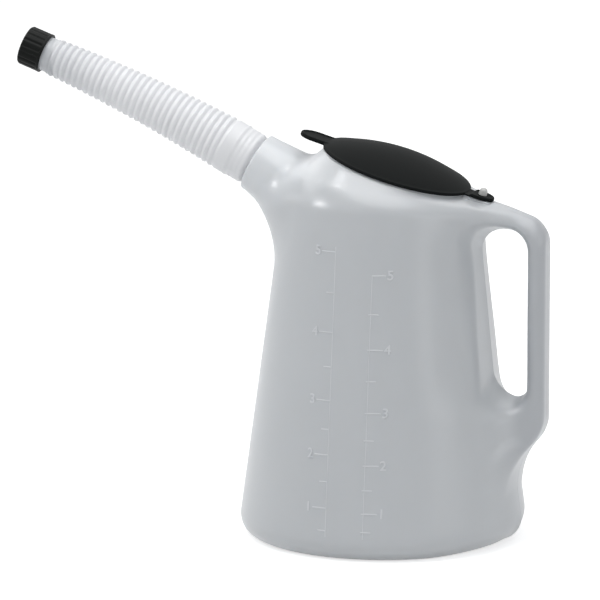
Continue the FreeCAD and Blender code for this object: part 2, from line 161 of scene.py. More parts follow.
def surfaceNet(field, low, high, step, relax=3):
    # Finds where a field changes sign. Each grid cell that the surface crosses gets one point, the mean of the
    # crossings on its edges; each crossed grid edge gets a quad of the four cells round it. The points are then evened
    # out along the surface and moved back onto it by Newton steps.
    axes = [np.arange(a, b+step, step) for a, b in zip(low, high)]
    grid = np.stack(np.meshgrid(*axes, indexing="ij"), -1)
    f = np.concatenate([field(grid[i:i+16]) for i in range(0, len(grid), 16)])
    cells = [n-1 for n in f.shape]
    total, count = np.zeros(cells+[3]), np.zeros(cells)
    for corner in np.ndindex(2, 2, 2):
        for axis in range(3):
            if corner[axis]:
                continue
            far = list(corner)
            far[axis] = 1
            a, b = (f[c[0]:c[0]+cells[0], c[1]:c[1]+cells[1], c[2]:c[2]+cells[2]] for c in (corner, far))
            cross = (a < 0) != (b < 0)
            t = np.where(cross, a/np.where(cross, a-b, 1), 0)
            for k in range(3):
                total[..., k] += np.where(cross, corner[k]+(t if k == axis else 0), 0)
            count += cross
    used = count > 0
    index = np.full(cells, -1)
    index[used] = np.arange(used.sum())
    points = (grid[:-1, :-1, :-1]+total/np.maximum(count, 1)[..., None]*step)[used]
    quads = []
    for axis in range(3):
        b, c = (axis+1) % 3, (axis+2) % 3
        near, far = [slice(None)]*3, [slice(None)]*3
        near[axis], far[axis] = slice(0, -1), slice(1, None)
        near[b] = far[b] = near[c] = far[c] = slice(1, -1)
        leaves = (f[tuple(near)] < 0) & (f[tuple(far)] >= 0)
        enters = (f[tuple(near)] >= 0) & (f[tuple(far)] < 0)
        ring = []
        for db, dc in ((0, 0), (1, 0), (1, 1), (0, 1)):
            cell = [slice(None)]*3
            cell[b], cell[c] = slice(1-db, cells[b]-db), slice(1-dc, cells[c]-dc)
            ring.append(index[tuple(cell)])
        quads += [np.stack([r[leaves] for r in ring], -1), np.stack([r[enters] for r in ring[::-1]], -1)]
    quads = np.concatenate(quads)

    def onto(p):
        for _ in range(2):
            value = field(p)
            slope = np.stack([field(p+shift)-value for shift in .05*np.eye(3)], -1)/.05
            p = p-np.clip(value, -step, step)[:, None]*slope/np.maximum((slope**2).sum(-1), .05)[:, None]
        return p

    points = onto(points)
    ends = np.concatenate([quads, quads]).ravel()
    others = np.concatenate([np.roll(quads, 1, 1), np.roll(quads, -1, 1)]).ravel()
    number = np.maximum(np.bincount(ends, minlength=len(points)), 1)[:, None]
    for _ in range(relax):
        mean = np.stack([np.bincount(ends, points[others, k], len(points)) for k in range(3)], -1)/number
        points = onto(.4*points+.6*mean)
    return points, quads


def trimmed(points, quads, cuts):
    # cuts a mesh by planes, each one acting only on the faces that its region picks; the side the normal points to goes
    mesh = bpy.data.meshes.new("cut")
    mesh.from_pydata(points.tolist(), [], quads.tolist())
    bm = bmesh.new()
    bm.from_mesh(mesh)
    for origin, normal, region in cuts:
        bm.faces.ensure_lookup_table()
        middle = np.array([f.calc_center_median() for f in bm.faces])
        faces = [bm.faces[i] for i in np.flatnonzero(region(middle))]
        edges = {e for f in faces for e in f.edges}
        verts = {v for f in faces for v in f.verts}
        bmesh.ops.bisect_plane(bm, geom=[*verts, *edges, *faces], dist=1e-5,
                               plane_co=origin, plane_no=normal, clear_outer=True)
    loose = [v for v in bm.verts if not v.link_faces]
    bmesh.ops.delete(bm, geom=loose, context="VERTS")
    bm.to_mesh(mesh)
    bm.free()
    co = np.empty(len(mesh.vertices)*3)
    mesh.vertices.foreach_get("co", co)
    corner = np.empty(len(mesh.loops), int)
    mesh.loops.foreach_get("vertex_index", corner)
    start = np.empty(len(mesh.polygons), int)
    mesh.polygons.foreach_get("loop_start", start)
    faces = [f.tolist() for f in np.split(corner, start[1:])]
    bpy.data.meshes.remove(mesh)
    return co.reshape(-1, 3), faces


def zipped(indexA, angleA, indexB, angleB):
    # triangles between two loops round one axis: each edge of a loop takes the point that the other loop has reached
    a, b = np.argsort(angleA), np.argsort(angleB)
    indexA, angleA, indexB, angleB = indexA[a], angleA[a], indexB[b], angleB[b]
    reachedB = np.searchsorted(angleB, angleA, side="left")-1
    reachedA = np.searchsorted(angleA, angleB, side="right")-1
    return np.concatenate([np.stack([np.roll(indexA, 1), indexA, indexB[reachedB]], -1),
                           np.stack([indexB, np.roll(indexB, 1), indexA[reachedA]], -1)])


def linearColour(text):
    # the linear colour of an sRGB hex value
    value = np.array([int(text[i:i+2], 16) for i in (0, 2, 4)])/255
    value = np.where(value <= .04045, value/12.92, ((value+.055)/1.055)**2.4)
    return (*value.tolist(), 1.0)


def emptyTree(owner):
    owner.use_nodes = True
    owner.node_tree.nodes.clear()
    return owner.node_tree


def addNode(tree, kind, inputs=None, links=None, **settings):
    # one node with its settings, its input values and the sockets that feed it
    node = tree.nodes.new(kind)
    for name, value in settings.items():
        setattr(node, name, value)
    for name, value in (inputs or {}).items():
        node.inputs[name].default_value = value
    for name, source in (links or {}).items():
        tree.links.new(source, node.inputs[name])
    return node


def mathNode(tree, operation, links, inputs=None):
    return addNode(tree, "ShaderNodeMath", inputs, links, operation=operation).outputs[0]


def rampNode(tree, source, start, end, low, high):
    # low up to start, high from end, smooth between
    return addNode(tree, "ShaderNodeMapRange", {"From Min": start, "From Max": end, "To Min": low, "To Max": high},
                   {"Value": source}, interpolation_type="SMOOTHSTEP").outputs["Result"]


def tintNode(tree, colour, share, tint):
    # the colour, mixed towards a tint by a share
    return addNode(tree, "ShaderNodeMix", {7: linearColour(tint)}, {0: share, 6: colour}, data_type="RGBA").outputs[2]


def waxy(ior, weight, depth, radius=(1.0, 1.0, 1.0)):
    # light goes about `depth` metres into the plastic
    return {"IOR": ior, "Subsurface Weight": weight, "Subsurface Radius": radius, "Subsurface Scale": depth}


def perMetre(millimetres):
    return 1000/millimetres


def mouldedPlastic(name, light, dark, mottle, grain, grainDepth, roughness, settings, tones=None):
    # a moulded plastic: slow colour drift over `mottle` mm, fine surface grain of `grain` mm, and a roughness that
    # drifts with the colour; `tones` adds what depends on the place on the piece
    material = bpy.data.materials.new(name)
    tree = emptyTree(material)
    place = addNode(tree, "ShaderNodeTexCoord").outputs["Object"]
    drift = addNode(tree, "ShaderNodeTexNoise", {"Scale": perMetre(mottle), "Detail": 3.0, "Roughness": .5},
                    {"Vector": place}).outputs["Fac"]
    colour = addNode(tree, "ShaderNodeMix", {6: linearColour(dark), 7: linearColour(light)}, {0: drift},
                     data_type="RGBA").outputs[2]
    rough = addNode(tree, "ShaderNodeMapRange", {"To Min": roughness[0], "To Max": roughness[1]}, {"Value": drift})
    fine = addNode(tree, "ShaderNodeTexNoise", {"Scale": perMetre(grain), "Detail": 2.0}, {"Vector": place})
    normal = addNode(tree, "ShaderNodeBump", {"Strength": 1.0, "Distance": grainDepth*.001},
                     {"Height": fine.outputs["Fac"]}).outputs["Normal"]
    if tones:
        colour, normal = tones(tree, place, colour, normal)
    shader = addNode(tree, "ShaderNodeBsdfPrincipled", settings,
                     {"Base Color": colour, "Roughness": rough.outputs["Result"], "Normal": normal})
    addNode(tree, "ShaderNodeOutputMaterial", links={"Surface": shader.outputs["BSDF"]})
    return material


def shellTones(tree, place, colour, normal):
    # The seam of the two mould halves is a fine raised line where the wall crosses the plane y = 0, a little darker.
    split = addNode(tree, "ShaderNodeSeparateXYZ", links={"Vector": place}).outputs
    seam = rampNode(tree, mathNode(tree, "ABSOLUTE", {0: split["Y"]}), .0004, .0011, 1.0, 0.0)
    bump = addNode(tree, "ShaderNodeBump", {"Strength": .6, "Distance": .0004}, {"Height": seam, "Normal": normal})
    colour = tintNode(tree, colour, mathNode(tree, "MULTIPLY", {0: seam}, {1: .12}), "8F9398")
    # Painted shade: the narrow hollow handle lets less light through than the barrel, so its tone is painted deeper.
    colour = tintNode(tree, colour, rampNode(tree, split["X"], .088, .108, 0.0, .9), "B9BCC0")
    # Painted light: the white spout's stub stands inside the neck and shows through its wall, so the neck is painted
    # paler
    # towards its rim: outward = 0.777 z - 0.879 x, both in metres.
    along = mathNode(tree, "MULTIPLY", {0: split["X"]}, {1: -.879})
    outward = mathNode(tree, "MULTIPLY_ADD", {0: split["Z"], 2: along}, {1: .777})
    colour = tintNode(tree, colour, rampNode(tree, outward, .2316, .2716, 0.0, 1.0), "E0E3E6")
    return colour, bump.outputs["Normal"]


def spoutTones(tree, place, colour, normal):
    # painted shade: the smooth end has the thinnest wall and lies in the shade by the cap, so it is painted greyer than
    # the ribs, and the ribs are painted a little greyer towards it
    split = addNode(tree, "ShaderNodeSeparateXYZ", links={"Vector": place}).outputs
    ribs = rampNode(tree, split["X"], -.190, -.240, 0.0, .4)
    end = rampNode(tree, split["X"], -.2385, -.2410, 0.0, .5)
    return tintNode(tree, colour, mathNode(tree, "ADD", {0: ribs, 1: end}), "BABDC1"), normal


# natural high-density polyethylene, extrusion blow moulded: milky, satin, light goes a few millimetres into the wall
naturalPolyethylene = mouldedPlastic(
    "naturalPolyethylene", "C9CCCF", "C5C8CB", 70, 3.5, .03, (.27, .32),
    waxy(1.54, .25, .004, (1.0, .9, .8)), shellTones)
# the same polyethylene where the mould is blasted for the raised marks: dull, and paler than the satin wall, partly
# as a painted highlight for the light that their raised edges catch
frostedPolyethyleneWithPaintedHighlight = mouldedPlastic(
    "frostedPolyethyleneWithPaintedHighlight", "DCDEE1", "D6D8DB", 20, 1.0, .02, (.55, .65), waxy(1.54, .2, .002, (1.0, .9, .8)))
# white low-density polyethylene, corrugator moulded: whiter, softer and more waxy than the shell
whiteTubePolyethylene = mouldedPlastic(
    "whiteTubePolyethylene", "F7F8FB", "F2F3F6", 25, 1.2, .02, (.38, .46), waxy(1.51, .35, .003), spoutTones)
# black ethylene copolymer, injection moulded, soft: satin, fine spark texture that spreads its reflections
softBlackPlastic = mouldedPlastic(
    "softBlackPlastic", "1B1D1D", "171919", 30, .7, .03, (.5, .6), {"IOR": 1.5, "Specular IOR Level": .02})
# black polypropylene, injection moulded: harder and a little glossier, moulding flow drifts across it
blackPolypropylene = mouldedPlastic(
    "blackPolypropylene", "171918", "131514", 12, .6, .02, (.34, .44), {"IOR": 1.49, "Specular IOR Level": .08})
# natural polyamide rivet, injection moulded: dull grey white
naturalPolyamide = mouldedPlastic(
    "naturalPolyamide", "D0D0CE", "C4C4C2", 4, .5, .01, (.35, .45), waxy(1.53, .2, .001))
# nitrile sealing disc, cut from sheet: dull dark grey
nitrileRubber = mouldedPlastic("nitrileRubber", "303030", "282828", 6, .4, .03, (.7, .85), {"IOR": 1.52})
print("materials made")


# The blown shell. A value with three numbers is an amount, where it starts and where it is whole. Pairs are a start and
# an end.
shell = {
    # barrel: its rounding at the base grows towards the handle, but not at the pinched seam; dent for the fingers
    "baseRadius": 102.6, "taper": rad(7.65), "baseRound": 16.5, "heelGrow": (5.5, 48, 82),
    "pinch": (3, 80, 96), "pinchWidth": 6,
    "dent": 4.3, "dentTurn": (rad(62), rad(28)), "dentTop": (228, 196), "dentFoot": (92, 125),
    # roof from the shoulder to the tilted ring under the lid
    "shoulderHeight": 241.0, "shoulderRise": (6.5, 72, 5), "shoulderBack": .03,
    "shoulderRound": 8.0, "shoulderEase": (1.5, 225, 200), "ringRadius": 53.0, "ringDrop": 1.9,
    # lip and mouth
    "lipRadius": 52.2, "lipTop": -.3, "lipCut": -1.2, "lipDepth": 12, "lipFillet": 2.0, "lipCorner": .75,
    "mouthRadius": 47.8, "mouthDepth": 14,
    # neck: grows and sinks a little on its way in
    "neckRadius": 21.0, "neckBore": 18.6, "neckBoreDepth": 14.0, "boreOverlap": 4, "neckGrow": .157, "neckFall": .064,
    "neckEase": 3, "neckReach": 55, "neckTopFillet": 5.0, "neckBottomFillet": 26.0, "neckCut": 1.2, "neckCorner": 1.15,
    # handle: web, sloping top with a crown, foot, and the melt of the foot into the barrel
    "gripOuter": 118.0, "gripInner": 105.7, "gripHalf": 13.0, "gripCorner": 12.0, "webStart": 30, "webBottom": 36,
    "webFillet": 20, "webFilletTop": (20, 216, 240), "webFilletFoot": (10, 200, 110), "flankLean": (3.5, 13, 0),
    "edgeFall": rad(19.4), "edgeRaise": 1.5, "padEnd": 74.3, "padLift": (2.3, 66, 84), "roofMelt": 4.0,
    "crown": (.02, 62, 86), "crownHalf": 16, "footSlope": rad(49), "footHeight": 80.4, "footRound": 5.0,
    "melt": (16, 48, 22), "meltFoot": (20, 8), "meltLeast": .01,
    # finger hole, and the flared wall on its barrel side
    "holeTop": 221.0, "holeTopDraft": .3, "holeTopRound": 17.0,
    "holeBottom": 102.8, "holeBottomDraft": .35, "holeHeel": 11.0,
    "holeRound": 17.0, "holeRoundFoot": (2, 150, 110), "holeEdge": 5.0, "holeEdgeFoot": (1.5, 150, 110),
    "pocketX": 70.7, "pocketZ": 209.0, "pocketTaper": .1, "pocketDraft": .115,
    # pad under the hinge tab, in layers of (inset, drop)
    "padPlace": 61.2, "padHalf": (10.2, 8.8), "padPower": .22, "padRaise": .75, "padFlare": (.35, 6, 13),
    "padLayers": ((9.3, 0), (6, 0), (3, 0), (1.2, 0), (.6, .12), (.2, .4), (0, .9), (0, 1.6), (-.6, 2.4), (-1.6, 3.2),
                  (2, 4.2), (6, 4.2), (9.3, 4.2)),
    # mesh
    "wall": 2.0, "grid": 2.0, "innerGrid": 3.6, "boxLow": (-122, -108, -6), "boxHigh": (124, 108, 290),
    "padAround": 96, "lipAround": 240, "neckAround": 144, "lipCutReach": 58,
    "neckCutX": -75, "neckCutZ": 225, "neckCutDepth": 8,
}


def roofField(x, y, z, g=shell):
    # Ruled surface from the shoulder line, higher in front than behind, to the tilted ring under the lid. For each
    # point, the height share u is found by halving: the ellipse between the two rings that passes through the point's
    # place in plan. The distance is the height above the surface times the cosine of its slope.
    slope = lidPlace["pitch"]
    shoulderRadius = g["baseRadius"]-g["shoulderHeight"]*np.tan(g["taper"])
    cx, cz = lidPlace["x"]-g["ringDrop"]*np.sin(slope), lidPlace["z"]-g["ringDrop"]*np.cos(slope)
    ringX, ringY = g["ringRadius"]*np.cos(slope), g["ringRadius"]
    low, high = np.full(x.shape, -3.0), np.full(x.shape, 3.0)
    leastRadius = 2.0
    for _ in range(20):
        u = .5*(low+high)
        a = np.maximum(shoulderRadius+u*(ringX-shoulderRadius), leastRadius)
        b = np.maximum(shoulderRadius+u*(ringY-shoulderRadius), leastRadius)
        outside = ((x-u*cx)/a)**2+(y/b)**2 > 1
        high, low = np.where(outside, u, high), np.where(outside, low, u)
    u = .5*(low+high)
    a = np.maximum(shoulderRadius+u*(ringX-shoulderRadius), leastRadius)
    c = np.clip((x-u*cx)/a, -1, 1)
    onShoulder = c*shoulderRadius
    start = g["shoulderHeight"]+eased(onShoulder, g["shoulderRise"])-g["shoulderBack"]*np.minimum(onShoulder, 0)
    run = np.hypot((shoulderRadius-ringX)*c-cx, (shoulderRadius-ringY)*np.sqrt(1-c*c))
    rise = cz-ringX*c*np.tan(slope)-start
    return (z-start-u*rise)*run/np.hypot(run, rise)


def shellField(p, g=shell, lip=True):
    # Signed distance, near enough, of the blown shell's outside: a tapered barrel, dented where the fingers go, a web
    # for the handle with a long fillet into the barrel, the roof and the handle's crowned top over both, the finger
    # hole cut out, then the lip and the neck.
    x, y, z = p[..., 0], p[..., 1], p[..., 2]
    ay = np.abs(y)
    dent = smoothStep(np.arctan2(ay, x), *g["dentTurn"])*smoothStep(z, *g["dentTop"])*smoothStep(z, *g["dentFoot"])
    side = (np.hypot(x, y)-g["baseRadius"]+z*np.tan(g["taper"])+g["dent"]*dent)*np.cos(g["taper"])
    heel = g["baseRound"]+eased(x, g["heelGrow"])-np.exp(-(y/g["pinchWidth"])**2)*eased(x, g["pinch"])
    barrel = roundMax(side, -z, heel)
    bendX = lidPlace["x"]+g["padEnd"]*np.cos(lidPlace["pitch"])
    bendZ = lidPlace["z"]-(bendX-lidPlace["x"])*np.tan(lidPlace["pitch"])+g["edgeRaise"]
    crown = np.minimum(ay, g["crownHalf"])**2*eased(x, g["crown"])
    edge = (x-bendX)*np.sin(g["edgeFall"])+(z-bendZ+crown)*np.cos(g["edgeFall"])
    lift = eased(x, g["padLift"])-crown
    fillet = g["webFillet"]+eased(z, g["webFilletTop"])+eased(z, g["webFilletFoot"])
    flank = np.maximum(ay-g["gripHalf"]+eased(-edge, g["flankLean"]), g["webStart"]-x)
    web = roundMin(side, flank, fillet)
    foot = (x-g["gripOuter"])*np.sin(g["footSlope"])-(z-g["footHeight"])*np.cos(g["footSlope"])
    web = np.maximum(roundMax(web, foot, g["footRound"]), g["webBottom"]-z)
    melt = eased(ay, g["melt"])*smoothStep(np.abs(foot), *g["meltFoot"])+g["meltLeast"]
    wall = smoothMin(barrel, web, melt)
    roof = -smoothMin(lift-roofField(x, y, z), -edge, g["roofMelt"])
    roof = roundMax(roof, x-g["gripOuter"], g["gripCorner"])
    body = roundMax(wall, roof, g["shoulderRound"]-eased(z, g["shoulderEase"]))
    left = (g["pocketX"]+(g["pocketZ"]-z)*g["pocketTaper"]-g["pocketDraft"]*ay-x)*np.cos(g["taper"])
    hole = roundMax(x-g["gripInner"], z-g["holeTop"]-g["holeTopDraft"]*ay, g["holeTopRound"])
    hole = roundMax(hole, g["holeBottom"]-g["holeBottomDraft"]*ay-z, g["holeHeel"])
    hole = roundMax(hole, left, g["holeRound"]+eased(z, g["holeRoundFoot"]))
    body = roundMax(body, -hole, g["holeEdge"]+eased(z, g["holeEdgeFoot"]))
    if lip:
        radius, turn, height = aroundLid(p)
        body = roundMin(body, np.maximum(radius-g["lipRadius"], -height-g["lipDepth"]), g["lipFillet"])
    depth, across, up = toTilt(p, neckPlace)
    inside = np.maximum(depth, 0)
    ease = np.sqrt(inside*inside+g["neckEase"]**2)-g["neckEase"]
    low = up+g["neckFall"]*ease
    radius = np.hypot(low, across)
    tube = np.maximum(radius-(g["neckRadius"]+g["neckGrow"]*ease), depth-g["neckReach"])
    # the fillet is small along the neck's top line and grows to its whole size along the bottom line
    share = .5-.5*low/np.maximum(radius, 1)
    share = share*(2-share)
    return roundMin(body, tube, g["neckTopFillet"]+(g["neckBottomFillet"]-g["neckTopFillet"])*share)


def cavityField(p, g=shell):
    # the inside: the shell one wall thickness in, opened by the mouth and by the neck's bore
    depth, across, up = toTilt(p, neckPlace)
    radius, turn, height = aroundLid(p)
    hollow = np.maximum(shellField(p, lip=False)+g["wall"], g["neckBoreDepth"]-depth)
    mouth = np.maximum(radius-g["mouthRadius"], -height-g["mouthDepth"])
    bore = np.maximum(np.hypot(up, across)-g["neckBore"], depth-g["neckBoreDepth"]-g["boreOverlap"])
    return np.minimum(np.minimum(hollow, mouth), bore)


def aroundLid(p):
    # radius, turn and height about the lid's axis
    along, across, height = toTilt(p, lidPlace)
    return np.hypot(along, across), np.arctan2(across, along), height


def aroundNeck(p):
    # radius, turn and height about the neck's axis, the height counted outward
    depth, across, up = toTilt(p, neckPlace)
    return np.hypot(up, across), np.arctan2(across, up), -depth


def lidRing(radius, height, angle):
    return fromTilt(radius*np.cos(angle), radius*np.sin(angle), height, lidPlace)


def neckRing(radius, height, angle):
    return fromTilt(-height, radius*np.sin(angle), radius*np.cos(angle), neckPlace)


def padPoints(g=shell):
    # a rounded plan outline, cos^0.22 by sin^0.22 of its half sizes, rounded over at the top and flared into the roof
    angle = np.linspace(0, 2*np.pi, g["padAround"], endpoint=False)
    layers = []
    for inset, drop in g["padLayers"]:
        along, across = (np.sign(wave)*np.abs(wave)**g["padPower"]*(half-inset)
                         for wave, half in zip((np.cos(angle), np.sin(angle)), g["padHalf"]))
        drop = drop*(1-eased(along, g["padFlare"]))
        layers.append(fromTilt(g["padPlace"]+along, across, g["lipTop"]+g["padRaise"]-drop, lidPlace))
    return np.concatenate(layers)


def makeShell(g=shell):
    # Outside and inside are cut open just under each rim, and a rounded rim joins the two cut loops.
    neckNormal = Vector((-np.cos(neckPlace["pitch"]), 0, np.sin(neckPlace["pitch"])))
    lidNormal = Vector((np.sin(lidPlace["pitch"]), 0, np.cos(lidPlace["pitch"])))

    def nearLid(middle):
        radius, turn, height = aroundLid(middle)
        return (radius < g["lipCutReach"]) & (height > -g["lipDepth"])

    def nearNeck(middle):
        beside = (middle[:, 0] < g["neckCutX"]) & (middle[:, 2] > g["neckCutZ"])
        return beside & (-aroundNeck(middle)[2] < g["neckCutDepth"])

    cuts = ((fromTilt(0, 0, g["lipCut"], lidPlace).tolist(), lidNormal, nearLid),
            (fromTilt(g["neckCut"], 0, 0, neckPlace).tolist(), neckNormal, nearNeck))
    outer, outerFaces = trimmed(*surfaceNet(shellField, g["boxLow"], g["boxHigh"], g["grid"]), cuts)
    inner, innerFaces = trimmed(*surfaceNet(cavityField, g["boxLow"], g["boxHigh"], g["innerGrid"]), cuts)
    start, total = len(outer), len(outer)+len(inner)
    points = [outer, inner]
    faces = [outerFaces, [[i+start for i in face[::-1]] for face in innerFaces]]
    rims = ((aroundLid, lidRing, g["lipRadius"], g["mouthRadius"], g["lipTop"], g["lipCorner"], g["lipCut"],
             g["lipAround"]),
            (aroundNeck, neckRing, g["neckRadius"]+.02, g["neckBore"], 0.0, g["neckCorner"], -g["neckCut"],
             g["neckAround"]))
    for around, ring, outerRadius, innerRadius, top, corner, cut, count in rims:
        # up the outside, over the top and down the inside
        profile = rounded([(outerRadius, cut), (outerRadius, top), (innerRadius, top), (innerRadius, cut)],
                          (0, corner, corner, 0))[1:-1]
        angle = np.linspace(-np.pi, np.pi, count, endpoint=False)+.5*np.pi/count
        points.append(ring(profile[:, :1], profile[:, 1:]+0*angle, angle).reshape(-1, 3))
        faces.append(gridFaces(len(profile), count, total))
        for part, offset, row in ((outer, 0, 0), (inner, start, len(profile)-1)):
            radius, turn, height = around(part)
            loop = np.flatnonzero((np.abs(height-cut) < 1e-3) & (radius < outerRadius+6))
            faces.append(zipped(loop+offset, turn[loop], total+row*count+np.arange(count), angle))
        total += len(profile)*count
    points.append(padPoints())
    faces.append(gridFaces(len(g["padLayers"]), g["padAround"], total))
    piece = newObject("blownShell", np.concatenate(points), faces, naturalPolyethylene,
                      "jug", weld=True)
    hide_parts("jug_body")


makeShell()
print("shell made")


# The raised level scales on the barrel: each has an upright line, long ticks with numerals and short ticks between.
scales = {
    "raise": .28, "sink": .3, "width": .95, "lineRaise": .12, "lineWidth": .55, "bottom": 17.0,
    "litre": {"line": -14.8, "cross": 0.0, "long": -10.6, "short": -6.0, "top": 216.0,
              "heights": (36.9, 73.4, 110.6, 157.2, 212.3), "half": (21.5, 55.0, 90.9, 133.7, 184.4)},
    "quart": {"line": 12.0, "cross": 1.7, "long": 9.4, "short": 5.5, "top": 197.5,
              "heights": (34.5, 67.5, 103.4, 146.7, 197.5), "half": (21.7, 50.5, 84.7, 125.1, 170.9)},
    "fontSize": 9.24, "fontDepth": .3, "fontRound": .12, "fontLift": .05, "fontGap": 2.9, "rows": 41, "sides": 12,
}


def onBarrel(x, z, raised):
    # a point at plan position x and height z, raised off the cone: y = -sqrt(r(z)^2 - x^2)
    radius = shell["baseRadius"]-z*np.tan(shell["taper"])+raised
    return np.stack([x, -np.sqrt(radius**2-x**2), z], -1)


def barPoints(x0, z0, x1, z1, height, width, g=scales):
    # a pill along a straight line on the unrolled barrel: its half-round section shrinks to nothing at both ends
    along = np.sin(np.linspace(-np.pi/2, np.pi/2, g["rows"]))[:, None]
    around = turns(g["sides"])[None]
    length, half = np.hypot(x1-x0, z1-z0), width/2
    reach = np.clip((1-np.abs(along))*length/2/half, 0, 1)
    size = np.sqrt(1-(1-reach)**2)
    side = half*size*np.cos(around)
    up = np.where(np.sin(around) > 0, height, g["sink"])*size*np.sin(around)
    ux, uz = (x1-x0)/length, (z1-z0)/length
    mid = along*length/2
    return onBarrel((x0+x1)/2+ux*mid-uz*side, (z0+z1)/2+uz*mid+ux*side, up).reshape(-1, 3)


def numeralPoints(text, x, z, g=scales):
    # a raised numeral from the built-in font, made a mesh and laid on the barrel
    curve = bpy.data.curves.new("numeral", "FONT")
    curve.body, curve.size, curve.align_x, curve.align_y = text, g["fontSize"], "CENTER", "CENTER"
    curve.extrude, curve.bevel_depth = g["fontDepth"], g["fontRound"]
    curve.bevel_resolution, curve.resolution_u = 2, 6
    holder = bpy.data.objects.new("numeral", curve)
    mesh = bpy.data.meshes.new_from_object(holder)
    co = np.empty(len(mesh.vertices)*3)
    mesh.vertices.foreach_get("co", co)
    co = co.reshape(-1, 3)
    faces = [list(p.vertices) for p in mesh.polygons]
    bpy.data.objects.remove(holder)
    bpy.data.curves.remove(curve)
    bpy.data.meshes.remove(mesh)
    return onBarrel(x+co[:, 0], z+co[:, 1], co[:, 2]+g["fontLift"]), faces


def makeScales(g=scales):
    points, faces, total = [], [], 0
    for scale in (g["litre"], g["quart"]):
        x, cross = scale["line"], scale["cross"]
        bars = [(x, g["bottom"], x, scale["top"], g["lineRaise"], g["lineWidth"])]
        bars += [(x-cross*(z < scale["top"]), z, x+scale["long"], z, g["raise"], g["width"]) for z in scale["heights"]]
        bars += [(x-cross, z, x+scale["short"], z, g["raise"], g["width"]) for z in scale["half"]]
        parts = [(barPoints(*bar), gridFaces(g["rows"], g["sides"]).tolist()) for bar in bars]
        numeralX = x+scale["long"]+np.sign(scale["long"])*g["fontGap"]
        parts += [numeralPoints(str(number), numeralX, z) for number, z in enumerate(scale["heights"], 1)]
        for co, flat in parts:
            points.append(co)
            faces.append([[i+total for i in face] for face in flat])
            total += len(co)
    newObject("levelScales", np.concatenate(points), faces, frostedPolyethyleneWithPaintedHighlight,
              "jug", weld=True)


makeScales()
print("scales made")


# The corrugated spout: places along it are millimetres from the neck's rim, inward negative.
spout = {
    "arcLength": 159.0, "arcRadius": 1183.12, "start": -18.0, "end": 183.3, "wall": 1.2, "endRound": .3,
    "stubRadius": 17.7, "beadRise": .6, "beadPlaces": (-4.8, -10.8), "beadWidth": .6,
    "collarRadius": 19.2, "collarStart": .6, "collarEnd": 26.0, "collarRound": 4.2, "collarSink": .5,
    "collarStep": (.5, 11, 16), "collarFall": .9, "collarFallLength": 2.4,
    "ringPlaces": (3.6, 7.4, 11.2, 15.0), "ringRise": .32, "ringWidth": 1.1,
    "ribs": 29, "pitch": 4.75, "firstCrest": 19.4, "lastCrest": 13.5, "ribHeight": 1.3, "ribPower": .75,
    "tipRadius": 12.4, "tipStep": .6, "tipFade": .8, "bendStart": 40.0, "bendEnd": 120.0,
    "around": 112, "perRib": 11,
}


def spoutFrame(t, g=spout):
    # the spout's middle line: a shallow arc that starts along the neck and flattens, then a straight end
    turn = np.clip(t, 0, g["arcLength"])
    slope = neckPlace["pitch"]-turn/g["arcRadius"]
    rest = t-turn
    x = neckPlace["x"]-g["arcRadius"]*(np.sin(neckPlace["pitch"])-np.sin(slope))-rest*np.cos(slope)
    z = neckPlace["z"]+g["arcRadius"]*(np.cos(slope)-np.cos(neckPlace["pitch"]))+rest*np.sin(slope)
    return x, z, slope


def alongSpout(t, radius, angle):
    # a ring of the given radius square to the middle line: up the normal by r cos a, across by r sin a
    x, z, slope = spoutFrame(t)
    up, across = radius*np.cos(angle), radius*np.sin(angle)
    return np.stack([x+up*np.sin(slope)+0*angle, across+0*t, z+up*np.cos(slope)+0*angle], -1)


def spoutRadius(t, g=spout):
    # Stub with two sealing beads, collar with faint rings, ribs, smooth end. A rib is a raised cosine to the power
    # 0.75, and its crest shrinks evenly from the first rib to the last. The collar starts with a quarter round.
    place = (t-g["collarEnd"])/g["pitch"]
    share = place-np.floor(place)
    crest = g["firstCrest"]+(g["lastCrest"]-g["firstCrest"])*np.clip(place, 0, g["ribs"])/g["ribs"]
    rib = crest-g["ribHeight"]*(1-(.5-.5*np.cos(2*np.pi*share))**g["ribPower"])
    start = t-g["collarStart"]
    quarter = np.sqrt(np.clip(1-(1-np.clip(start/g["collarRound"], 0, 1))**2, 0, 1))*g["collarRound"]
    rings = sum(np.exp(-((start-at)/g["ringWidth"])**2) for at in g["ringPlaces"])
    collar = g["collarRadius"]-g["collarRound"]+quarter-g["collarSink"]+g["ringRise"]*rings
    collar = collar+eased(start, g["collarStep"])
    collar = collar-eased(t, (g["collarFall"], g["collarEnd"]-g["collarFallLength"], g["collarEnd"]))
    beads = sum(np.exp(-((t-at)/g["beadWidth"])**2) for at in g["beadPlaces"])
    stub = g["stubRadius"]+g["beadRise"]*beads
    tip = g["tipRadius"]+g["tipStep"]*np.exp(-(t-g["collarEnd"]-g["ribs"]*g["pitch"])/g["tipFade"])
    ribbed = np.where(place < g["ribs"], rib, np.minimum(tip, crest))
    return np.where(t < g["collarStart"], stub, np.where(t < g["collarEnd"], collar, ribbed))


